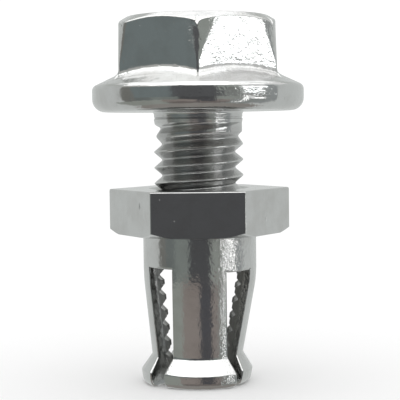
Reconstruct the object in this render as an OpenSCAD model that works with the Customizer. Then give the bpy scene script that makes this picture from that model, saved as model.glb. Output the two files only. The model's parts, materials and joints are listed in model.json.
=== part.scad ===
// Undercut anchor for hanging facade panels. The slotted sleeve drops into a drilled
// hole, the bracket goes over its hexagon, and the flanged bolt is screwed down until
// its tip pushes the four flared fingers out into the undercut.
// Millimetres, +Z up. The anchor stands on its finger tips with its axis on Z.

/* [Thread] */
// Nominal diameter of the thread that the bolt and the sleeve share
thread_d = 6; // [5:0.25:6.25]
// Rise of the thread in one turn
thread_pitch = 1; // [0.6:0.05:1.2]
// Radial play between the bolt's thread and the sleeve's bore
thread_play = 0.08; // [0.04:0.01:0.1]
// Angle between the two flanks of the thread
thread_angle = 60; // [50:1:70]

/* [Bolt] */
// Length of the bolt below its flange
bolt_length = 10; // [8:0.5:12]
// How far the flange stands above the sleeve
shank_showing = 4.9; // [4.5:0.1:7]
// How far the bolt is turned in the sleeve, hexagon to hexagon
bolt_turn = 31; // [0:1:60]
// Where round the tip the bolt's thread starts, in degrees
thread_start = 180; // [0:15:345]
// Width across the flats of the bolt's hexagon
head_af = 9.8; // [8:0.1:11]
// Height of the head from the flange's underside to the top
head_height = 6; // [5:0.1:8]
// Diameter of the flat on top of the head
head_flat_d = 9; // [7.5:0.1:9.5]
// Slope of the chamfer round the top of the head
head_chamfer_angle = 30; // [15:1:40]
// Diameter of the flange
flange_d = 13.5; // [13:0.1:16]
// Thickness of the flange at its rim
flange_rim = 1.6; // [1.4:0.05:2]
// Slope of the flange's upper side, up to the hexagon
flange_slope = 25; // [10:1:30]
// Radius that rounds the rim's two edges
rim_round = 0.62; // [0.2:0.02:0.65]
// Diameter of the plain neck under the flange
neck_d = 5.5; // [5.2:0.05:5.8]
// Length of the plain neck
neck_length = 0.9; // [0.5:0.05:1.5]
// Radius of the fillet between neck and flange
neck_fillet = 0.25; // [0.1:0.05:0.5]
// Radius left at the very tip by the bolt's end chamfer
tip_r = 2.1; // [1.6:0.05:2.2]

/* [Sleeve] */
// Width across the flats of the sleeve's hexagon
hex_af = 10; // [8.5:0.1:12]
// Height of the sleeve's hexagon
hex_height = 2.85; // [2:0.05:4]
// Drop of the turned chamfer at the hexagon's lower corners
hex_low_chamfer = 0.3; // [0.1:0.05:0.6]
// Drop of the turned chamfer at the hexagon's upper corners
hex_top_chamfer = 0.1; // [0.05:0.05:0.4]
// Depth of the countersink where the thread enters the hexagon
countersink = 0.25; // [0.1:0.05:0.5]
// Outer diameter of the sleeve below its hexagon
sleeve_d = 7.25; // [7:0.05:8]
// Unslotted length between the hexagon and the slots
collar_length = 2.2; // [1:0.1:4]
// Width of the two slots that cross and make the four fingers
slot_w = 2; // [1:0.1:2.5]
// Length of each finger from the slot's end to its tip
finger_length = 7.45; // [6:0.05:10]
// How far the fingers are bent in at rest, on average, in degrees
finger_lean = 7.5; // [5:0.1:9]
// How much further the right finger leans in, and how much less the left one
lean_spread = 1.8; // [0:0.1:2]

/* [Flare] */
// Diameter round the flared tips before the fingers are bent in
flare_d = 8.8; // [8.2:0.1:9.2]
// Length of the cone that widens to the flare
flare_cone = 0.9; // [0.5:0.05:1.5]
// Length of the flared land below the cone, with its rounded edge
flare_land = 0.95; // [0.6:0.05:1.5]
// Radius that rounds the outer edge of each tip
tip_round = 0.5; // [0.2:0.05:0.6]
// Inner chamfer at the mouth of the sleeve
mouth_chamfer = 0.55; // [0.3:0.05:0.6]

/* [Hidden] */
$fn = 96;

// Heights, counted from the plane that the finger tips stand on
slot_end_z = finger_length * cos(finger_lean);
hex_bottom_z = slot_end_z + collar_length;
hex_top_z = hex_bottom_z + hex_height;
flange_z = hex_top_z + shank_showing;
neck_end_z = flange_z - neck_length;
bolt_tip_z = flange_z - bolt_length;
head_top_z = flange_z + head_height;

// Radii
bore_r = thread_d / 2;
sleeve_r = sleeve_d / 2;
flare_r = flare_d / 2;
flange_r = flange_d / 2;
neck_r = neck_d / 2;
crest_r = bore_r - thread_play;
thread_depth = 0.6 * thread_pitch;
root_r = crest_r - thread_depth;
crest_flat = thread_pitch / 8;
root_sink = 0.05;
ridge_inner_r = root_r - root_sink;
steps_per_turn = 24;
inner_depth = 0.54 * thread_pitch;
inner_crest_r = bore_r - inner_depth;
groove_flat = thread_pitch / 8;
groove_half = groove_flat / 2 + inner_depth * tan(thread_angle / 2);

// The fingers' outer face lies a hair inside the collar's, so that the bend starts
// below the collar, and a narrow root reaches up from each into the collar's wall
finger_r = sleeve_r - 0.03;
root_inset = 0.1;
root_reach = 0.2;

// One arc as a list of points, from the first angle to the last
function arc(center, radius, from, to, steps = 8) = [
    for (i = [0:steps])
        center + radius * [cos(from + (to - from) * i / steps), sin(from + (to - from) * i / steps)]
];

// Radius from the centre to the corners of a hexagon
function corner_r(across_flats) = across_flats / 2 / cos(30);

// A hexagonal prism with corners on the X axis
module hexagon(across_flats, height) {
    linear_extrude(height)
        circle(corner_r(across_flats), $fn = 6);
}

// ---- Flanged bolt ----

// Radius of the thread's crest at a height: cut by the tip's 45 degree chamfer,
// and running out into the neck over the last turn
function crest_at(z) = min(
    crest_r,
    tip_r + max(0, z - bolt_tip_z),
    neck_r + (crest_r - neck_r) * max(0, neck_end_z - z) / thread_pitch
);

// Half the width of the ridge at a radius, from the slope of its flanks
function half_width(radius) = crest_flat / 2 + (crest_r - radius) * tan(thread_angle / 2);

// Four corners of the ridge's section at one step of the helix
function ridge_section(step) =
    let (
        angle = thread_start + 360 * step / steps_per_turn,
        z = bolt_tip_z + thread_pitch * (step / steps_per_turn + 0.5),
        outer_r = max(ridge_inner_r + root_sink / 2, crest_at(z)),
        along = [cos(angle), sin(angle)],
        inner = along * ridge_inner_r,
        outer = along * outer_r
    )
    [
        [inner.x, inner.y, z - half_width(ridge_inner_r)],
        [outer.x, outer.y, z - half_width(outer_r)],
        [outer.x, outer.y, z + half_width(outer_r)],
        [inner.x, inner.y, z + half_width(ridge_inner_r)]
    ];

// The thread's ridge, wound right-handed from the tip up into the neck
module thread_ridge() {
    turns = (bolt_length - neck_length) / thread_pitch - 0.5;
    last = floor(turns * steps_per_turn);
    points = [for (step = [0:last]) each ridge_section(step)];
    sides = [
        for (step = [0:last - 1], side = [0:3])
            let (a = 4 * step + side, b = 4 * step + (side + 1) % 4)
            each [[a, b, b + 4], [a, b + 4, a + 4]]
    ];
    lower_end = [[3, 2, 1], [3, 1, 0]];
    upper_end = [for (face = lower_end) [for (i = [2:-1:0]) 4 * last + face[i]]];
    polyhedron(concat(points), concat(sides, lower_end, upper_end), convexity = 10);
}

// Solid core under the ridge, with the chamfered tip
module shank_core() {
    tip_cone = root_r - tip_r;
    rotate_extrude()
        polygon([
            [0, bolt_tip_z],
            [tip_r, bolt_tip_z],
            [root_r, bolt_tip_z + tip_cone],
            [root_r, neck_end_z - thread_pitch / 2],
            [neck_r, neck_end_z],
            [neck_r, flange_z],
            [0, flange_z]
        ]);
}

// Fillet that the neck meets the flange with
module neck_root() {
    outer = neck_r + neck_fillet;
    rotate_extrude()
        polygon(concat(
            [[0, flange_z], [0, flange_z - neck_fillet]],
            arc([outer, flange_z - neck_fillet], neck_fillet, 180, 90, 6)
        ));
}

// Round flange with a sloping upper side that runs up to the hexagon
module flange() {
    rim_edge_z = flange_z + flange_rim;
    top_z = rim_edge_z + (flange_r - head_af / 4) * tan(flange_slope);
    upper_center = [
        flange_r - rim_round,
        rim_edge_z - rim_round * tan((90 - flange_slope) / 2)
    ];
    lower_center = [flange_r - rim_round, flange_z + rim_round];
    rotate_extrude()
        polygon(concat(
            [[0, flange_z]],
            arc(lower_center, rim_round, -90, 0),
            arc(upper_center, rim_round, 0, 90 - flange_slope),
            [[head_af / 4, top_z], [0, top_z]]
        ));
}

// Hexagon with its top corners turned off
module bolt_hexagon() {
    outer = corner_r(head_af) + 1;
    drop = (outer - head_flat_d / 2) * tan(head_chamfer_angle);
    intersection() {
        translate([0, 0, flange_z])
            hexagon(head_af, head_height);
        rotate_extrude()
            polygon([
                [0, flange_z],
                [outer, flange_z],
                [outer, head_top_z - drop],
                [head_flat_d / 2, head_top_z],
                [0, head_top_z]
            ]);
    }
}

// The whole bolt: one forged and rolled piece
module flange_bolt() {
    color("gainsboro")
        rotate(bolt_turn)
            union() {
                bolt_hexagon();
                flange();
                neck_root();
                shank_core();
                thread_ridge();
            }
}

// ---- Anchor sleeve ----

// Hexagon whose corners are turned off a little at both ends
module sleeve_hexagon() {
    outer = corner_r(hex_af);
    low_r = outer - hex_low_chamfer / tan(30);
    top_r = outer - hex_top_chamfer / tan(30);
    intersection() {
        translate([0, 0, hex_bottom_z])
            hexagon(hex_af, hex_height);
        rotate_extrude()
            polygon([
                [0, hex_bottom_z],
                [low_r, hex_bottom_z],
                [outer, hex_bottom_z + hex_low_chamfer],
                [outer, hex_top_z - hex_top_chamfer],
                [top_r, hex_top_z],
                [0, hex_top_z]
            ]);
    }
}

// Threaded bore with the countersink in the hexagon
module sleeve_bore() {
    past = 1;
    rotate_extrude()
        polygon([
            [0, slot_end_z - past],
            [bore_r, slot_end_z - past],
            [bore_r, hex_top_z - countersink],
            [bore_r + countersink + past, hex_top_z + past],
            [0, hex_top_z + past]
        ]);
}

// Height of the first whole groove below the slot's end that the bolt's thread would
// run into, in the finger at an angle round the sleeve
function first_groove(angle) =
    let (
        crest_z = bolt_tip_z + thread_pitch * ((angle - bolt_turn - thread_start) / 360 + 0.5),
        below_slot_end = (slot_end_z - crest_z) / thread_pitch
    )
    -thread_pitch * (below_slot_end - floor(below_slot_end) + 1);

// One V groove of the inner thread, from its upper edge to its lower edge
function groove(z) = [
    [inner_crest_r, z + groove_half],
    [bore_r, z + groove_flat / 2],
    [bore_r, z - groove_flat / 2],
    [inner_crest_r, z - groove_half]
];

// Section of a finger's wall before it is bent. It hangs from the slot's end, and a
// narrow root reaches up into the collar's wall. The thread shows as level grooves.
module finger_section(angle) {
    cone_start = flare_land + flare_cone - finger_length;
    round_center = [flare_r - tip_round, tip_round - finger_length];
    first = first_groove(angle);
    mouth_z = mouth_chamfer - finger_length;
    count = floor((first - groove_half - mouth_z) / thread_pitch);
    polygon(concat(
        [[finger_r - root_inset, root_reach], [bore_r + root_inset, root_reach]],
        [[inner_crest_r, -root_reach]],
        [for (i = [0:count]) each groove(first - i * thread_pitch)],
        [[inner_crest_r, mouth_z], [inner_crest_r + mouth_chamfer, -finger_length]],
        arc(round_center, tip_round, -90, 0),
        [[flare_r, flare_land - finger_length], [finger_r, cone_start], [finger_r, 0]]
    ));
}

// One quarter of the slotted tube, on the +X side, bent in at the slot's end
module bent_finger(lean, angle) {
    reach = flare_r + 1;
    wedge_start = slot_w / 2 / cos(45);
    translate([sleeve_r, 0, slot_end_z])
        rotate([0, lean, 0])
            translate([-sleeve_r, 0, 0])
                intersection() {
                    rotate_extrude()
                        finger_section(angle);
                    translate([0, 0, -finger_length - 1])
                        linear_extrude(finger_length + 2)
                            polygon([
                                [wedge_start, 0],
                                [wedge_start + reach, reach],
                                [wedge_start + reach, -reach]
                            ]);
                }
}

// The four fingers, their tips faced off level where the anchor stands
module fingers() {
    leans = [
        finger_lean + lean_spread,
        finger_lean,
        finger_lean - lean_spread,
        finger_lean
    ];
    intersection() {
        union() {
            for (side = [0:3])
                rotate(90 * side)
                    bent_finger(leans[side], 90 * side);
        }
        cylinder(h = hex_top_z, r = flare_r + 1);
    }
}

// The whole sleeve: one turned, slotted and pinched piece
module anchor_sleeve() {
    color("silver")
        union() {
            difference() {
                union() {
                    sleeve_hexagon();
                    translate([0, 0, slot_end_z])
                        cylinder(h = collar_length + hex_height / 2, r = sleeve_r);
                }
                sleeve_bore();
            }
            fingers();
        }
}

flange_bolt();
anchor_sleeve();
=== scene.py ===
import json
import math

import bpy
from mathutils import Matrix, Vector


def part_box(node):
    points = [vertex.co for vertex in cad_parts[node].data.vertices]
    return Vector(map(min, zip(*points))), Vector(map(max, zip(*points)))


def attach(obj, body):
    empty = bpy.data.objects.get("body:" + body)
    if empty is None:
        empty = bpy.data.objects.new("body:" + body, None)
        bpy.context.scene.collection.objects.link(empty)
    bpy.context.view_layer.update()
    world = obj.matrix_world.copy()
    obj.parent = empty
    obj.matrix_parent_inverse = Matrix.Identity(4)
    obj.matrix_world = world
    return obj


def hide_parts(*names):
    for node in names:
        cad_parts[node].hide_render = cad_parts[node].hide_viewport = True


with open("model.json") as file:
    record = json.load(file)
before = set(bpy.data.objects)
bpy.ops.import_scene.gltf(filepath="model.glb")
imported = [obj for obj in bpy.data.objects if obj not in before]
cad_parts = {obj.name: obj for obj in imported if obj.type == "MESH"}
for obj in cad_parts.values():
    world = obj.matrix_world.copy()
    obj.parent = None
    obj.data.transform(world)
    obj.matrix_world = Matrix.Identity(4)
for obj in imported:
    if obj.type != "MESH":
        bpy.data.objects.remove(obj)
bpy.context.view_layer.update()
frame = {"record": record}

# ---- Anchor sleeve ----
# One turned stainless piece: hexagon, round collar, and four fingers with flared ends.
# It is turned as a solid blank, tapped M6 right through, sawn crosswise into four
# fingers, and the fingers are then pinched in at the slots' end.

# Sizes are in millimetres, which MM turns into metres, and angles are in degrees.

MM = 0.001
mounts = {mount["name"]: mount for mount in frame["record"]["mounts"]}
collar_mount = mounts["sleeve_collar"]
collar_r = collar_mount["dims"]["r_mm"]
collar_middle = collar_mount["pos_m"][2] / MM
slot_end = collar_middle - collar_mount["dims"]["length_mm"] / 2
hex_bottom = mounts["panel_seat"]["pos_m"][2] / MM
hex_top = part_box("anchor_sleeve")[1].z / MM

COLUMNS = 144  # of faces round every turned blank
sleeve_flats = 10.0
sleeve_edge_r = 0.09
hex_top_round = 0.12
hex_low_chamfer_r = 5.254
hex_low_chamfer_angle = 30
underside_r = 4.3  # inside it the underside is turned round, outside it is a hexagon
underside_fillet = 0.1
finger_length = 7.45
finger_r = collar_r - 0.01
bend_depths = [0.25 + 0.2 * step for step in range(7)]  # of rings, below the slots' end
straight_depths = [2.2, 3.2, 4.2, 5.0]
flare_r = 4.4
flare_cone = 0.9
flare_land = 0.95
flare_foot_round = 0.25
flare_edge_round = 0.12
tip_round = 0.5
slot_half = 1.0
slot_depths = {45: 0.12, -45: -0.1}  # how much deeper the saw goes, by its direction
slot_edge_round = 0.12
bend_length = 1.3
finger_leans = {0: 10.6, 90: 7.9, 180: 5.6, 270: 7.9}  # by the side that a finger is on


def drawn_line(name, points):
    """A new mesh with one line drawn through (radius, height) points over the X axis."""
    bpy.ops.object.select_all(action="DESELECT")
    bpy.ops.mesh.primitive_plane_add(size=MM)
    line = bpy.context.object
    line.name = line.data.name = name
    bpy.ops.object.mode_set(mode="EDIT")
    bpy.ops.mesh.select_mode(type="VERT")
    bpy.ops.mesh.select_all(action="SELECT")
    bpy.ops.mesh.merge(type="CENTER")
    here = Vector((0, 0))
    for number, point in enumerate(points):
        step = Vector(point) * MM - here
        here = Vector(point) * MM
        move = {"value": (step.x, 0, step.y)}
        if number == 0:
            bpy.ops.transform.translate(**move)
        else:
            bpy.ops.mesh.extrude_region_move(TRANSFORM_OT_translate=move)
    bpy.ops.object.mode_set(mode="OBJECT")
    return line


def pick(piece):
    """Selects one piece alone, for the operators that act on what is selected."""
    bpy.ops.object.select_all(action="DESELECT")
    piece.select_set(True)
    bpy.context.view_layer.objects.active = piece


def close_up(piece, gap=0.0001):
    """Merges what lies together and turns every face outwards."""
    pick(piece)
    bpy.ops.object.mode_set(mode="EDIT")
    bpy.ops.mesh.select_all(action="SELECT")
    bpy.ops.mesh.remove_doubles(threshold=gap * MM)
    bpy.ops.mesh.normals_make_consistent(inside=False)
    bpy.ops.object.mode_set(mode="OBJECT")


def turned_blank(name, section):
    """A solid turned round Z, then pressed to shape: section(column) gives the
    (angle, radius, height) of every ring in that column, from the top's centre down."""
    sections = [section(column) for column in range(COLUMNS)]
    first = [Vector((radius, height)) for _, radius, height in sections[0]]
    blank = drawn_line(name, first)
    numbers = [min(range(len(first)), key=lambda ring: (vertex.co.xz / MM - first[ring]).length)
               for vertex in blank.data.vertices]
    blank.data.attributes.new("ring", "INT", "POINT").data.foreach_set("value", numbers)
    bpy.ops.object.mode_set(mode="EDIT")
    bpy.ops.mesh.select_all(action="SELECT")
    bpy.ops.mesh.spin(steps=COLUMNS, angle=2 * math.pi, center=(0, 0, 0), axis=(0, 0, 1),
                      use_auto_merge=True)
    bpy.ops.object.mode_set(mode="OBJECT")
    rings = blank.data.attributes["ring"]
    for vertex, ring in zip(blank.data.vertices, rings.data):
        turn = math.atan2(vertex.co.y, vertex.co.x) / (2 * math.pi)
        vertex.co = polar(*sections[round(turn * COLUMNS) % COLUMNS][ring.value])
    blank.data.attributes.remove(rings)
    close_up(blank)
    return blank


def polar(angle, radius, height):
    """A place from its angle round Z in degrees, its radius and its height in mm."""
    turn = math.radians(angle)
    return Vector((radius * math.cos(turn), radius * math.sin(turn), height)) * MM


def rounded(corners, steps=4, guard=0.03):
    """Points along a line through (radius, height, rounding) corners, each corner with
    a rounding turned into an arc of that radius. A guard point on either side of each arc
    keeps the smooth shading of the arc from spreading over the straight parts."""
    points = []
    for number, (radius, height, rounding) in enumerate(corners):
        here = Vector((radius, height))
        if not rounding:
            points.append(tuple(here))
            continue
        back = (Vector(corners[number - 1][:2]) - here).normalized()
        ahead = (Vector(corners[number + 1][:2]) - here).normalized()
        half = back.angle(ahead) / 2
        reach = rounding / math.tan(half)
        centre = here + (back + ahead).normalized() * rounding / math.sin(half)
        first = here + back * reach - centre
        last = here + ahead * reach - centre
        points.append(tuple(here + back * (reach + guard)))
        for step in range(steps + 1):
            points.append(tuple(centre + first.slerp(last, step / steps) * rounding))
        points.append(tuple(here + ahead * (reach + guard)))
    return points


def hexagon_column(column, across_flats, edge_r):
    """Angle and radius of a column on a hexagon with rounded vertical edges. The first
    five columns either side of an edge lie on the rounding, so that it is always smooth."""
    per_side = COLUMNS // 6
    corner = round(column / per_side)
    step = column - corner * per_side
    on_edge = 5
    half = math.radians(30)
    flat = across_flats / 2
    if abs(step) <= on_edge:
        turn = half * abs(step) / on_edge
        centre = (flat - edge_r) / math.cos(half)
        x, y = centre + edge_r * math.cos(turn), edge_r * math.sin(turn)
        angle, radius = math.degrees(math.atan2(y, x)), math.hypot(x, y)
    else:
        share = (abs(step) - on_edge) / (per_side / 2 - on_edge)
        along = (flat - edge_r) * math.tan(half) * (1 - share)
        angle = 30 - math.degrees(math.atan2(along, flat))
        radius = math.hypot(along, flat)
    return 60 * corner + math.copysign(angle, step), radius


def finger_column(column, radius):
    """Angle of a column at a radius, below the hexagon. The columns beside each slot keep
    their distance from its wall, whatever the radius."""
    per_finger = COLUMNS // 4
    finger = round(column / per_finger)
    step = column - finger * per_finger
    inner_steps = 11
    wall_distances = (0.32, 0.15, -0.05)
    least_r = 3
    beside_slot = [45 - math.degrees(math.asin((slot_half + distance) / max(radius, least_r)))
                   for distance in wall_distances]
    if abs(step) <= inner_steps:
        angle = beside_slot[0] * abs(step) / inner_steps
    elif abs(step) <= inner_steps + 2:
        angle = beside_slot[abs(step) - inner_steps]
    else:
        share = (abs(step) - inner_steps - 2) / (per_finger / 2 - inner_steps - 2)
        angle = beside_slot[2] + (45 - beside_slot[2]) * share
    return 90 * finger + math.copysign(angle, step)


def sleeve_section(column):
    """One column of the blank: hexagon, collar, the fingers' outside with rings close
    together where they bend, cone, flare, rounded tip."""
    angle, radius = hexagon_column(column, sleeve_flats, sleeve_edge_r)
    low_r = min(radius, hex_low_chamfer_r)
    low_z = hex_bottom + (radius - low_r) * math.tan(math.radians(hex_low_chamfer_angle))
    hexagon = rounded([(0, hex_top, 0), (radius, hex_top, hex_top_round), (radius, low_z, 0)])
    hexagon += [(low_r, hex_bottom), (underside_r, hex_bottom)]
    bottom = slot_end - finger_length
    outline = rounded([
        (underside_r, hex_bottom, 0),
        (collar_r, hex_bottom, underside_fillet),
        (collar_r, slot_end + 0.55, 0),
    ])[1:]
    outline += [(collar_r, slot_end + 0.3), (collar_r, slot_end - 0.02)]
    outline += [(finger_r, slot_end - depth) for depth in bend_depths + straight_depths]
    outline += rounded([
        (finger_r, slot_end - straight_depths[-1], 0),
        (finger_r, bottom + flare_land + flare_cone, flare_foot_round),
        (flare_r, bottom + flare_land, flare_edge_round),
        (flare_r, bottom + tip_round + 0.05, 0),
    ])[1:]
    outline += rounded([
        (flare_r, bottom + tip_round + 0.1, 0),
        (flare_r, bottom, tip_round),
        (3.5, bottom, 0),
        (2.0, bottom, 0),
        (0, bottom, 0),
    ], 6)[1:]
    return [(angle, *point) for point in hexagon] + [
        (finger_column(column, r), r, z) for r, z in outline]


sleeve = turned_blank("anchor_sleeve_steel", sleeve_section)

# The sleeve's thread, which the bolt's is in step with: bolt_turn says how far round the
# bolt is turned, and its thread starts at thread_start round the tip

thread_pitch = 1.0
bolt_turn = 31
thread_start = 180
thread_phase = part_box("flange_bolt")[0].z / MM + thread_pitch * (0.5 - (bolt_turn + thread_start) / 360)
flank_slope = math.tan(math.radians(40))
bore_r = 2.95
inner_crest_r = 2.57
inner_root_round = 0.02
countersink_r = 3.25
mouth_r = 3.0


def thread_outline(crest_r, depth, root_round, flank_steps=1):
    """(radius, height) points over one pitch of a thread, from root to root."""
    crest_round, crest_land, crest_step = 0.045, 0.01, 17
    root_r = crest_r - depth
    crest = [(crest_r - crest_round * (1 - math.cos(turn)),
              crest_land + crest_round * math.sin(turn))
             for turn in (math.radians(crest_step * step) for step in range(4))]
    edge_r, edge_z = crest[-1]
    foot = edge_z + (edge_r - root_r) * flank_slope
    flank_end = Vector((root_r + root_round, foot - root_round * flank_slope))
    flank = [tuple(Vector(crest[-1]).lerp(flank_end, (step + 1) / flank_steps))
             for step in range(flank_steps)]
    root = [(root_r + 0.25 * root_round, foot), (root_r, thread_pitch / 2)]
    half = crest + flank + root
    return [(r, -z) for r, z in reversed(half)] + half


def wound_thread(name, outline, low, high, limits):
    """A rod with a right-handed thread, level at both ends. From a height and that of the
    nearest crest, limits gives the radii of the groove's root and of the crest, which a
    run-out changes, and the least and the greatest radius allowed."""
    widest = max(radius for radius, _ in outline)
    turns = math.ceil((high - low) / thread_pitch) + 2
    start = thread_phase + thread_pitch * (math.floor((low - thread_phase) / thread_pitch) - 1)
    rod = drawn_line(name, [(r, z + start) for r, z in outline])
    winding = rod.modifiers.new("winding", "SCREW")
    winding.axis = "Z"
    winding.screw_offset = thread_pitch * MM
    winding.steps = winding.render_steps = 72
    winding.iterations = turns
    bpy.ops.object.modifier_apply(modifier=winding.name)
    close_up(rod)
    for vertex in rod.data.vertices:
        height = vertex.co.z / MM
        turn = math.atan2(vertex.co.y, vertex.co.x) / (2 * math.pi)
        crest = start + thread_pitch * (turn + round((height - start) / thread_pitch - turn))
        root, top, least, greatest = limits(height, crest)
        radius = vertex.co.xy.length / MM
        share = (radius - outline[0][0]) / (widest - outline[0][0])
        scale = max(least, min(greatest, root + (top - root) * share)) / radius
        vertex.co.x *= scale
        vertex.co.y *= scale
    for height, side in ((low, -1), (high, 1)):
        level_cut(rod, height, side)
    close_up(rod)
    return rod


def level_cut(piece, height, side):
    """Cuts a piece level at a height, throws away what is above (1) or below (-1) it and
    closes the cut."""
    pick(piece)
    bpy.ops.object.mode_set(mode="EDIT")
    bpy.ops.mesh.select_all(action="SELECT")
    bpy.ops.mesh.bisect(plane_co=(0, 0, height * MM), plane_no=(0, 0, side), use_fill=True,
                        clear_outer=True, threshold=1e-9)
    bpy.ops.object.mode_set(mode="OBJECT")


def joined(piece, tool, operation):
    """Cuts the tool out of the piece, or makes the two one solid, and removes the tool."""
    cut = piece.modifiers.new(operation.lower(), "BOOLEAN")
    cut.operation, cut.solver, cut.object = operation, "EXACT", tool
    pick(piece)
    bpy.ops.object.modifier_apply(modifier=cut.name)
    bpy.data.objects.remove(tool)
    close_up(piece, 0.001)


def tap_limits(height, _):
    """The tap cuts the mouth's chamfer and the countersink too, both at 45 degrees."""
    mouth = mouth_r - (height - slot_end + finger_length)
    countersink = countersink_r - (hex_top - height)
    least = max(inner_crest_r, mouth, countersink)
    return inner_crest_r, bore_r, least, max(least, bore_r)


tap_past_end = 0.4
tap = wound_thread("tap", thread_outline(bore_r, bore_r - inner_crest_r, inner_root_round),
                   slot_end - finger_length - tap_past_end, hex_top + tap_past_end, tap_limits)
joined(sleeve, tap, "DIFFERENCE")

saw_length = 20
saw_depth = finger_length + 1
for direction, deeper in slot_depths.items():
    bpy.ops.mesh.primitive_cube_add(size=MM)
    saw = bpy.context.object
    saw.scale = (saw_length, 2 * slot_half, saw_depth)
    saw.rotation_euler.z = math.radians(direction)
    saw.location.z = (slot_end + deeper - saw_depth / 2) * MM
    joined(sleeve, saw, "DIFFERENCE")

# The saw's sharp outer edges are broken all round each slot
outer_edge_r = 3.3  # the edges nearer to the axis stay sharp
near = 0.001
pick(sleeve)
bpy.ops.object.mode_set(mode="EDIT")
bpy.ops.mesh.select_all(action="DESELECT")
bpy.ops.mesh.select_mode(type="EDGE")
bpy.ops.object.mode_set(mode="OBJECT")
for direction, deeper in slot_depths.items():
    across = polar(direction + 90, 1, 0) / MM
    slot_top = slot_end + deeper
    for edge in sleeve.data.edges:
        ends = [sleeve.data.vertices[number].co / MM for number in edge.vertices]
        offsets = [end.dot(across) for end in ends]
        outside = all(end.xy.length > outer_edge_r and end.z < slot_top + near for end in ends)
        on_wall = any(all(abs(offset - wall) < near for offset in offsets)
                      for wall in (-slot_half, slot_half))
        on_top = all(abs(end.z - slot_top) < near for end in ends) and all(
            abs(offset) < slot_half + near for offset in offsets)
        if outside and (on_wall or on_top):
            edge.select = True
bpy.ops.object.mode_set(mode="EDIT")
bpy.ops.mesh.bevel(offset=slot_edge_round * MM, segments=3, affect="EDGES", clamp_overlap=False)
bpy.ops.object.mode_set(mode="OBJECT")
close_up(sleeve, 0.001)

# The fingers are pinched in: each bends over a short length below the slots' end, and
# their tips are then faced off level
for vertex in sleeve.data.vertices:
    depth = slot_end - vertex.co.z / MM
    if depth <= 0:
        continue
    turn = math.degrees(math.atan2(vertex.co.y, vertex.co.x))
    finger = 90 * round(turn / 90) % 360
    lean = math.radians(finger_leans[finger])
    outwards = polar(finger, 1, 0) / MM
    out = vertex.co.dot(outwards) / MM
    past = out - collar_r
    bent = min(depth, bend_length)
    tilt = lean * bent / bend_length
    straight = depth - bent
    inward = bend_length / lean * (1 - math.cos(tilt)) + straight * math.sin(lean)
    down = bend_length / lean * math.sin(tilt) + straight * math.cos(lean)
    new_out = collar_r - inward + past * math.cos(tilt)
    vertex.co += outwards * ((new_out - out) * MM)
    vertex.co.z = (slot_end - down - past * math.sin(tilt)) * MM
level_cut(sleeve, 0, -1)
close_up(sleeve, 0.001)


class Wire:
    """One output in a material. Arithmetic on wires adds Math nodes."""

    def __init__(self, tree, socket):
        self.tree, self.socket = tree, socket

    def node(self, kind, settings, sockets, output=0):
        """Adds a node: its settings, then the values or wires of its sockets."""
        made = self.tree.nodes.new(kind)
        for name, value in settings.items():
            setattr(made, name, value)
        for name, value in sockets.items():
            if isinstance(value, Wire):
                self.tree.links.new(value.socket, made.inputs[name])
            else:
                made.inputs[name].default_value = value
        return Wire(self.tree, made.outputs[output])

    def math(self, operation, *values):
        return self.node("ShaderNodeMath", {"operation": operation}, dict(enumerate(values)))

    def __add__(self, other):
        return self.math("ADD", self, other)

    def __radd__(self, other):
        return self.math("ADD", other, self)

    def __sub__(self, other):
        return self.math("SUBTRACT", self, other)

    def __rsub__(self, other):
        return self.math("SUBTRACT", other, self)

    def __mul__(self, other):
        return self.math("MULTIPLY", self, other)

    def __rmul__(self, other):
        return self.math("MULTIPLY", other, self)

    def ramp(self, low, high, first=0.0, last=1.0):
        """Goes smoothly from first to last while this wire goes from low to high."""
        return self.node("ShaderNodeMapRange", {"interpolation_type": "SMOOTHSTEP"}, {
            "Value": self, "From Min": low, "From Max": high, "To Min": first, "To Max": last})

    def mixed(self, first, last):
        """A colour: first where this wire is 0, last where it is 1."""
        first, last = (c if isinstance(c, Wire) else (*c, 1) for c in (first, last))
        return self.node("ShaderNodeMix", {"data_type": "RGBA"}, {0: self, 6: first, 7: last}, 2)

    def vector_math(self, operation, values, output=0):
        return self.node("ShaderNodeVectorMath", {"operation": operation}, {0: self, 1: values}, output)

    def along(self, axis):
        """How far a place lies along X, Y or Z, in millimetres."""
        return self.node("ShaderNodeSeparateXYZ", {}, {"Vector": self}, axis) * (1 / MM)

    def radius(self):
        """How far a place is from the Z axis, in millimetres."""
        return self.vector_math("MULTIPLY", (1, 1, 0)).vector_math("LENGTH", (0, 0, 0), "Value") * (1 / MM)

    def noise(self, size, detail):
        return self.node("ShaderNodeTexNoise", {}, {
            "Vector": self, "Scale": 1 / (size * MM), "Detail": detail, "Roughness": 0.55})

    def pits(self, spacing, share, size=0.1):
        """-1 in the middle of small round pits, 0 elsewhere. share is the share of the
        cells, spacing millimetres apart, that have none; size is a part of the spacing."""
        cells = {"Vector": self, "Scale": 1 / (spacing * MM)}
        colour = self.node("ShaderNodeTexVoronoi", {}, cells, "Color")
        chosen = self.node("ShaderNodeSeparateColor", {}, {"Color": colour}, "Red").ramp(
            share, share + 0.02)
        distance = self.node("ShaderNodeTexVoronoi", {}, cells, "Distance")
        return chosen * distance.ramp(0.3 * size, size, -1, 0)

    def dent(self, centre, size):
        """-1 in the middle of one dent, 0 outside it; centre and half size in millimetres."""
        share = self.vector_math("SUBTRACT", Vector(centre) * MM).vector_math("DIVIDE", Vector(size) * MM)
        return share.vector_math("LENGTH", (0, 0, 0), "Value").ramp(0, 1, -1, 0)

    def bump(self):
        """The normal of a surface raised by this wire in millimetres."""
        return self.node("ShaderNodeBump", {}, {"Strength": 1, "Distance": MM, "Height": self})


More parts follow.
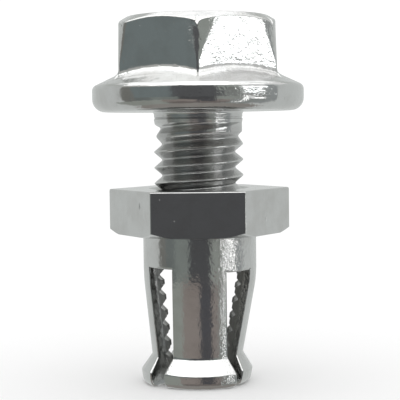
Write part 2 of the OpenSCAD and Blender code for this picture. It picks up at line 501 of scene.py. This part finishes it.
def new_metal(name):
    """A new metal material, its shader and the wire of places on the piece."""
    metal = bpy.data.materials.new(name)
    metal.use_nodes = True
    tree = metal.node_tree
    shader = tree.nodes["Principled BSDF"]
    shader.inputs["Metallic"].default_value = 1
    return metal, shader, Wire(tree, tree.nodes.new("ShaderNodeTexCoord").outputs["Object"])


def set_finish(shader, wires):
    """Joins wires to a shader's sockets by name."""
    for name, wire in wires.items():
        wire.tree.links.new(wire.socket, shader.inputs[name])


def finish_piece(piece, metal, node, body):
    """Smooths a piece, gives it its metal, hides the CAD node that it replaces and attaches it to its
    body.
    """
    pick(piece)
    bpy.ops.object.shade_smooth_by_angle(angle=math.radians(35))
    piece.data.materials.clear()
    piece.data.materials.append(metal)
    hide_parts(node)
    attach(piece, body)


# Turned and tumbled steel: fine grain all over, a few pits and nicks from handling, and painted
# shade, a darker and rougher steel, inside the sawn slots and the tapped thread. Bumps are heights in
# millimetres.
bright_steel, cloudy_steel = (0.61, 0.615, 0.61), (0.55, 0.55, 0.54)
shaded_sleeve_colour = (0.48, 0.48, 0.47)
nick_depth = 0.05
nicks = (  # the middle of each on the hexagon's sides, and its half size
    ((-3.6, -3.77, 11.5), (0.09, 0.09, 0.28)),
    ((4.19, -2.75, 10.6), (0.09, 0.09, 0.25)),
    ((1.4, 4.98, 11.2), (0.3, 0.2, 0.1)),
    ((-4.9, 1.5, 10.4), (0.1, 0.1, 0.3)),
)
steel, shader, place = new_metal("sleeve_steel")
height, radius = place.along("Z"), place.radius()
below_top = height.ramp(12.3, 12.4, 1, 0)
below_hexagon = height.ramp(9.4, 9.5, 1, 0)
# Painted shade: the steel inside the bore and the slot walls is coloured darker, and made rougher too
painted_shade_reach = height.math("MINIMUM", 0.12 * height + 2.26, 3.12)  # leans in with the fingers
inside = (radius - painted_shade_reach).ramp(-0.05, 0.08, 1, 0) * below_top
grain, waves, clouds = place.noise(0.2, 2), place.noise(1.1, 1), place.noise(1.5, 3)
rough_side = place.along("X").ramp(0.6, 1.4, 0.010, 0.03) * height.ramp(6.4, 7.6, 0.8, 1)
bumps = ((0.004 + rough_side * below_hexagon) * grain
         + 0.012 * below_hexagon * waves
         + 0.015 * place.pits(0.7, 0.6, 0.07))
for centre, size in nicks:
    bumps = bumps + nick_depth * place.dent(centre, size)
set_finish(shader, {
    "Base Color": inside.mixed(
        clouds.ramp(0.35, 0.75).mixed(bright_steel, cloudy_steel), shaded_sleeve_colour),
    "Roughness": 0.10 + 0.07 * clouds + 0.15 * inside,
    "Normal": bumps.bump(),
})
finish_piece(sleeve, steel, "anchor_sleeve", "sleeve")

# ---- Flanged bolt ----
# One stainless piece: the hexagon and its flange are forged in a die, the thread is
# rolled. It is screwed into the sleeve until its tip reaches the slots' end.

head_flats = 9.8
head_flat_r = 4.5
head_top_round = 0.3
head_chamfer_angle = 30
ease_top, ease_foot = 23.1, 20.3
corner_eases = (3.2, 2.8, 3.4, 1.9, 4.2, 3.6)  # each corner came out a little different
corner_rounds = (0.9, 0.8, 1, 0.35, 0.95, 0.95)
flat_chamfer_round = 0.16
ease_at_foot = 0.2
edge_r_at_top, edge_r_at_foot = 0.63, 0.28
flat_fillet, corner_fillet = 0.75, 0.25
corner_sharpness = 16  # how soon a corner's own roundings give way to a flat's
flange_r = 6.747
flange_rim = 1.6
flange_slope = 25
rim_top_round = 0.4
rim_low_round = 0.8
neck_r = 2.8
neck_length = 0.9
neck_fillet = 0.22
neck_swell = 0.05
stub_r = 2.83
ring_z = 16.92  # of the small ring that the die left round the neck
ring_depth = 0.08
crest_r = 2.85
thread_depth = 0.5
root_round = 0.06
tip_r = 2.1
bolt_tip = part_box("flange_bolt")[0].z / MM
head_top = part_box("flange_bolt")[1].z / MM
flange_z = mounts["flange_seat"]["pos_m"][2] / MM
neck_end = flange_z - neck_length


def forged_column(column, height):
    """Angle and radius of a column on the head at a height. Each side is flat, then eases
    off, mostly near the top, then turns sharply."""
    share = max(0, min(1, (ease_top - height) / (ease_top - ease_foot)))
    per_side = COLUMNS // 6
    corner = round(column / per_side)
    step = abs(column - corner * per_side)
    edge_steps, ease_steps, side_steps = 3, 9, 12
    flat, half, begun = head_flats / 2, math.radians(30), math.radians(20)
    ease_r = ease_at_foot + corner_eases[corner % 6] * (1 - share)
    edge_r = edge_r_at_top + (edge_r_at_foot - edge_r_at_top) * share ** 2
    end = flat - ease_r * (1 - math.cos(begun)) - edge_r * (math.cos(begun) - math.cos(half))
    end_along = end * math.tan(half)
    begin_along = end_along - edge_r * (math.sin(half) - math.sin(begun)) - ease_r * math.sin(begun)
    if step <= edge_steps:
        turn = half + (begun - half) * step / edge_steps
        along = end_along - edge_r * (math.sin(half) - math.sin(turn))
        out = end + edge_r * (math.cos(turn) - math.cos(half))
    elif step <= ease_steps:
        turn = begun * (ease_steps - step) / (ease_steps - edge_steps)
        along, out = begin_along + ease_r * math.sin(turn), flat - ease_r * (1 - math.cos(turn))
    else:
        along, out = begin_along * (side_steps - step) / (side_steps - ease_steps), flat
    angle = math.copysign(math.degrees(half - math.atan2(along, out)), column - corner * per_side)
    return bolt_turn + 60 * corner + angle, math.hypot(along, out)


def head_section(column):
    """One column of the forged head: top, turned chamfer, a side whose edges grow rounder
    towards the top, fillet, sloping flange, round rim, flat underside, and the neck with
    its ring."""
    foot_angle, foot_r = forged_column(column, ease_foot)
    even_angle = bolt_turn + 360 * column / COLUMNS
    from_corner = 1 - abs(column / COLUMNS * 12 % 2 - 1)  # 0 there, 1 at a flat's middle
    corner_share = math.exp(-corner_sharpness * from_corner ** 2)
    chamfer_round = flat_chamfer_round + corner_rounds[round(column * 6 / COLUMNS) % 6] * corner_share
    # The chamfer ends where the side begins, whose width depends on that height
    upper = head_top - 0.5
    for _ in range(4):
        top_angle, top_r = forged_column(column, upper)
        chamfer_z = head_top - (top_r - head_flat_r) * math.tan(math.radians(head_chamfer_angle))
        top = rounded([(0, head_top, 0), (head_flat_r, head_top, head_top_round),
                       (top_r, chamfer_z, chamfer_round), (top_r, chamfer_z - 1, 0)], 6)[:-1]
        upper = top[-1][1]
    section = [(top_angle, *point) for point in top]

    slope = math.tan(math.radians(flange_slope))
    rim_z = flange_z + flange_rim
    foot_z = rim_z + (flange_r - foot_r) * slope
    fillet = flat_fillet + (corner_fillet - flat_fillet) * corner_share
    foot = rounded([(foot_r, foot_z + 1, 0), (foot_r, foot_z, fillet), (flange_r, rim_z, 0)], 6)[1:-1]
    side_rings = 10
    for ring in range(1, side_rings):
        height = upper + (foot[0][1] - upper) * ring / side_rings
        section.append((*forged_column(column, height), height))
    section += [(foot_angle, *point) for point in foot]

    up_the_slope = 1.2
    neck_low = ring_z - 0.3
    rim = rounded([
        (flange_r - up_the_slope, rim_z + up_the_slope * slope, 0),
        (flange_r, rim_z, rim_top_round),
        (flange_r, flange_z, rim_low_round),
        (stub_r, flange_z, neck_fillet),
        (stub_r, ring_z + 0.06, 0.02),
        (stub_r - ring_depth, ring_z, 0.01),
        (neck_r + neck_swell, ring_z - 0.08, 0.02),
        (neck_r + 0.005, neck_low, 0),
        (0, neck_low, 0),
    ], 8)
    start, end = Vector(foot[-1]), Vector(rim[1])
    for share in (0.25, 0.5, 0.75):
        section.append((foot_angle + (even_angle - foot_angle) * share, *start.lerp(end, share)))
    return section + [(even_angle, *point) for point in rim[1:]]


bolt = turned_blank("flange_bolt_steel", head_section)


def eased(height, table):
    """Goes smoothly through a table of (height, value) pairs."""
    for (start, first), (end, last) in zip(table, table[1:]):
        if height < end:
            share = max(0, (height - start) / (end - start))
            return first + (last - first) * share * share * (3 - 2 * share)
    return table[-1][1]


# The thread's run-out, by the height above the neck's end: the radius of the groove's
# bottom, the radius that the crest would reach, and the radius that it is rolled down to
groove_run_out = ((-1.2, crest_r - thread_depth), (-0.69, 2.55), (-0.2, 2.43), (0.35, neck_r))
crest_run_out = ((-1.1, crest_r), (-0.69, 2.72), (-0.44, 2.81), (0.1, 3.2))
rolled_down = ((-1.1, crest_r), (-0.69, 2.69), (-0.3, neck_r))


def bolt_limits(height, crest):
    """The groove and the crest fade out below the neck, and the tip has a 45 degree
    chamfer."""
    groove = crest + math.copysign(thread_pitch / 2, height - crest)
    root = eased(groove - neck_end, groove_run_out)
    top = eased(crest - neck_end, crest_run_out)
    tip = tip_r + height - bolt_tip
    return root, top, 0, min(eased(crest - neck_end, rolled_down), tip)


shank_in_head = 0.5
shank = wound_thread("shank", thread_outline(crest_r, thread_depth, root_round, 4), bolt_tip,
                     flange_z + shank_in_head, bolt_limits)
joined(bolt, shank, "UNION")

# Forged and rolled steel with a soft, tumbled shine. The neck is duller, with fine marks
# that run round it; the thread (also rougher) and the crease under the neck's ring get painted shade.
shaded_thread_colour = (0.46, 0.46, 0.455)
steel, shader, place = new_metal("bolt_steel")
height, radius, sideways = place.along("Z"), place.radius(), place.along("X")
below_neck = height.ramp(16.2, 16.5, 1, 0)
on_shank = radius.ramp(3.1, 3.3, 1, 0)
on_neck = (1 - below_neck) * on_shank
# Painted shade: the thread below the neck is coloured darker; the same mask makes it rougher and grainier
dull_shaded_thread = below_neck * on_shank * radius.ramp(2.76, 2.82, 1, 0.2)
# Painted shade: a dark line in the crease under the neck's ring, fading out towards the right
ring_crease_shade = (on_shank * height.ramp(16.86, 16.89) * height.ramp(16.94, 16.97, 1, 0)
            * sideways.ramp(0.3, 1.0, 1, 0))
grain, waves, clouds = place.noise(0.2, 2), place.noise(0.9, 1), place.noise(1.6, 3)
round_marks = place.vector_math("MULTIPLY", (0.06, 0.06, 1)).noise(0.13, 1)
rough_side = sideways.ramp(0.4, 1.2, 0.006, 0.019) * radius.ramp(5.8, 6.3, 1, 0.5)
bumps = ((rough_side * (1 - on_shank) + 0.02 * dull_shaded_thread + 0.004 * on_neck) * grain
         + (0.03 - 0.024 * on_shank) * waves
         + 0.008 * place.pits(0.8, 0.5) + 0.006 * place.pits(0.3, 0.5, 0.35)
         + 0.006 * on_neck * round_marks)
set_finish(shader, {
    "Base Color": (dull_shaded_thread + 2 * ring_crease_shade).mixed(
        clouds.ramp(0.35, 0.75).mixed(bright_steel, cloudy_steel), shaded_thread_colour),
    "Roughness": 0.10 + 0.06 * clouds + 0.06 * on_neck + 0.1 * dull_shaded_thread,
    "Normal": bumps.bump(),
})
finish_piece(bolt, steel, "flange_bolt", "bolt")

# ---- Floor and light ----
# The anchor stands on matt white paper under an even white sky. What the steel reflects
# is a light tent: a wall, a roof and a ground, with gray cards, dark cards and bright
# windows hung inside it. Neither the tent nor the paper shades the other.

floor_width = 6  # metres
paper_colour = (0.96, 0.96, 0.96, 1)
sky_strength = 1.08

bpy.ops.object.select_all(action="DESELECT")
bpy.ops.mesh.primitive_plane_add(size=floor_width)
floor = bpy.context.object
floor.name = "floor"
paper = bpy.data.materials.new("floor_paper")
paper.use_nodes = True
shader = paper.node_tree.nodes["Principled BSDF"]
shader.inputs["Base Color"].default_value = paper_colour
shader.inputs["Roughness"].default_value = 0.9
shader.inputs["Specular IOR Level"].default_value = 0
floor.data.materials.append(paper)
floor.visible_glossy = False

world = bpy.data.worlds.new("studio")
bpy.context.scene.world = world
world.use_nodes = True
sky = world.node_tree.nodes["Background"]
sky.inputs["Color"].default_value = (1, 1, 1, 1)
sky.inputs["Strength"].default_value = sky_strength
world.cycles_visibility.glossy = False
bpy.context.scene.view_settings.view_transform = "Standard"


def card(name, left, right, low, high, colour, strength, radius, top_radius):
    """A curved, glowing card of the light tent that only reflections show, from one angle
    to another round the part (0 is towards the camera, positive is to the right), from one
    height to another, and from one radius at its foot to another at its top."""
    bpy.ops.object.select_all(action="DESELECT")
    bpy.ops.mesh.primitive_cone_add(vertices=360, radius1=radius * MM, radius2=top_radius * MM,
                                    depth=(high - low) * MM, end_fill_type="NOTHING",
                                    location=(0, 0, (high + low) / 2 * MM))
    sheet = bpy.context.object
    sheet.name = name
    bpy.ops.object.transform_apply(location=True)
    bpy.ops.object.mode_set(mode="EDIT")
    bpy.ops.mesh.select_all(action="DESELECT")
    bpy.ops.mesh.select_mode(type="FACE")
    bpy.ops.object.mode_set(mode="OBJECT")
    for face in sheet.data.polygons:
        angle = math.degrees(math.atan2(face.center.x, -face.center.y))
        face.select = not any(left <= a <= right for a in (angle - 360, angle, angle + 360))
    bpy.ops.object.mode_set(mode="EDIT")
    bpy.ops.mesh.delete(type="FACE")
    bpy.ops.object.mode_set(mode="OBJECT")
    cloth = bpy.data.materials.new(name)
    cloth.use_nodes = True
    nodes = cloth.node_tree.nodes
    nodes.remove(nodes["Principled BSDF"])
    light = nodes.new("ShaderNodeEmission")
    light.inputs["Color"].default_value = (*colour, 1)
    light.inputs["Strength"].default_value = strength
    cloth.node_tree.links.new(light.outputs[0], nodes["Material Output"].inputs["Surface"])
    sheet.data.materials.append(cloth)
    sheet.visible_camera = sheet.visible_diffuse = sheet.visible_shadow = False


tent = (  # name, left and right angle, low and high, colour, strength, radius, top radius
    ("tent_wall", -180, 180, -90, 60, (0.68, 0.70, 0.69), 1, 80, 80),
    ("tent_shoulder", -180, 180, 60, 95, (0.60, 0.62, 0.60), 1, 80, 45),
    ("shoulder_front", -56, 54, 64, 95, (1, 1, 1), 2.2, 75, 44),
    ("shoulder_left", -100, -40, 69, 95, (1, 1, 1), 2.2, 70, 44),
    ("shoulder_right", 46, 90, 66, 95, (1, 1, 1), 2, 73, 44),
    ("shoulder_far_right", 46, 130, 60, 95, (1, 1, 1), 1, 79, 44),
    ("shoulder_back_low", 120, 240, 73, 79, (1, 1, 1), 1.05, 66, 60),
    ("shoulder_back_high", 100, 260, 79, 95, (1, 1, 1), 1.65, 60, 44),
    ("roof_back", 100, 260, 94, 94.9, (0.98, 0.99, 1), 1.3, 44, 22),
    ("tent_roof", -180, 180, 95, 96, (1, 1, 1), 2.2, 45, 0),
    ("left_high_card", -96, -40, 45, 60, (0.56, 0.56, 0.54), 1, 77, 77),
    ("left_edge_card", -87, -71, -13, 45, (0.23, 0.23, 0.215), 1, 77, 77),
    ("left_gray_card", -71, -26, 12, 45, (0.21, 0.245, 0.248), 1, 77, 77),
    ("left_low_dark_card", -71, -50, -13, 12, (0.19, 0.21, 0.205), 1, 77, 77),
    ("left_low_gray_card", -50, -20, -13, 12, (0.255, 0.28, 0.265), 1, 77, 77),
    ("front_high_card", -40, 20, 55, 64, (0.50, 0.51, 0.49), 1, 77, 77),
    ("dark_card", -26, 28, 12, 55, (0.12, 0.122, 0.128), 1, 77, 77),
    ("dark_low_card", -20, 21, -70, 12, (0.094, 0.095, 0.10), 1, 77, 77),
    ("right_gray_card", 28, 46, 12, 22, (0.25, 0.26, 0.25), 1, 77, 77),
    ("right_low_gray_card", 21, 55, -13, 12, (0.35, 0.37, 0.345), 1, 77, 77),
    ("right_high_card", 20, 46, 22, 60, (0.39, 0.42, 0.395), 1, 76, 76),
    ("low_left_card", -100, -36, -90, -13, (0.36, 0.38, 0.35), 1, 76, 76),
    ("low_brown_card", -36, 38, -90, -13, (0.325, 0.285, 0.265), 1, 76, 76),
    ("low_front_card", -36, 38, -90, -42, (0.21, 0.185, 0.175), 1, 74, 74),
    ("low_dark_card", 0, 24, -60, -13, (0.10, 0.10, 0.11), 1, 75, 75),
    ("window_card", 47, 77, 22.5, 34, (0.97, 0.99, 1), 3.2, 75, 75),
    ("right_side_card", 46, 77, -13, 22.5, (0.30, 0.31, 0.30), 1, 76, 76),
    ("right_side_low_card", 38, 77, -90, -13, (0.33, 0.35, 0.34), 1, 76, 76),
    ("right_side_high_card", 46, 77, 34, 60, (0.75, 0.76, 0.75), 1, 76, 76),
    ("low_window_card", 59, 74, -5, 7, (1, 1, 1), 2.4, 75, 75),
    ("thread_side_card", 46, 62, 7, 14, (1, 1, 1), 0.9, 75, 75),
    ("glint_card", 51.5, 52.8, -60, 13.5, (1, 1, 1), 4, 74, 74),
    ("right_edge_card", 77, 93, -70, 60, (0.36, 0.38, 0.38), 1, 77, 77),
    ("tent_ground", -180, 180, -91, -90, (0.34, 0.32, 0.30), 1, 0, 80),
)
for sheet in tent:
    card(*sheet)

# ---- Camera ----
# A long lens a hand's breadth in front of the anchor, a little above the sleeve's hexagon,
# looking slightly down and turned a little round its own axis.

camera_side, camera_distance, camera_rise = 0.05, 82, 3.8
azimuth, pitch, roll = math.radians(0.93), math.radians(3.2), math.radians(-0.7)
bpy.ops.object.camera_add()
camera = bpy.context.object
camera.name = "camera"
camera.data.sensor_width = 36
camera.data.lens = 115.11
camera.data.clip_start = 0.001
camera.data.clip_end = 20
camera.matrix_world = (
    Matrix.Rotation(azimuth, 4, "Z")
    @ Matrix.Translation(Vector((camera_side, -camera_distance, hex_top + camera_rise)) * MM)
    @ Matrix.Rotation(math.radians(90) - pitch, 4, "X")
    @ Matrix.Rotation(roll, 4, "Z")
)
bpy.context.scene.camera = camera
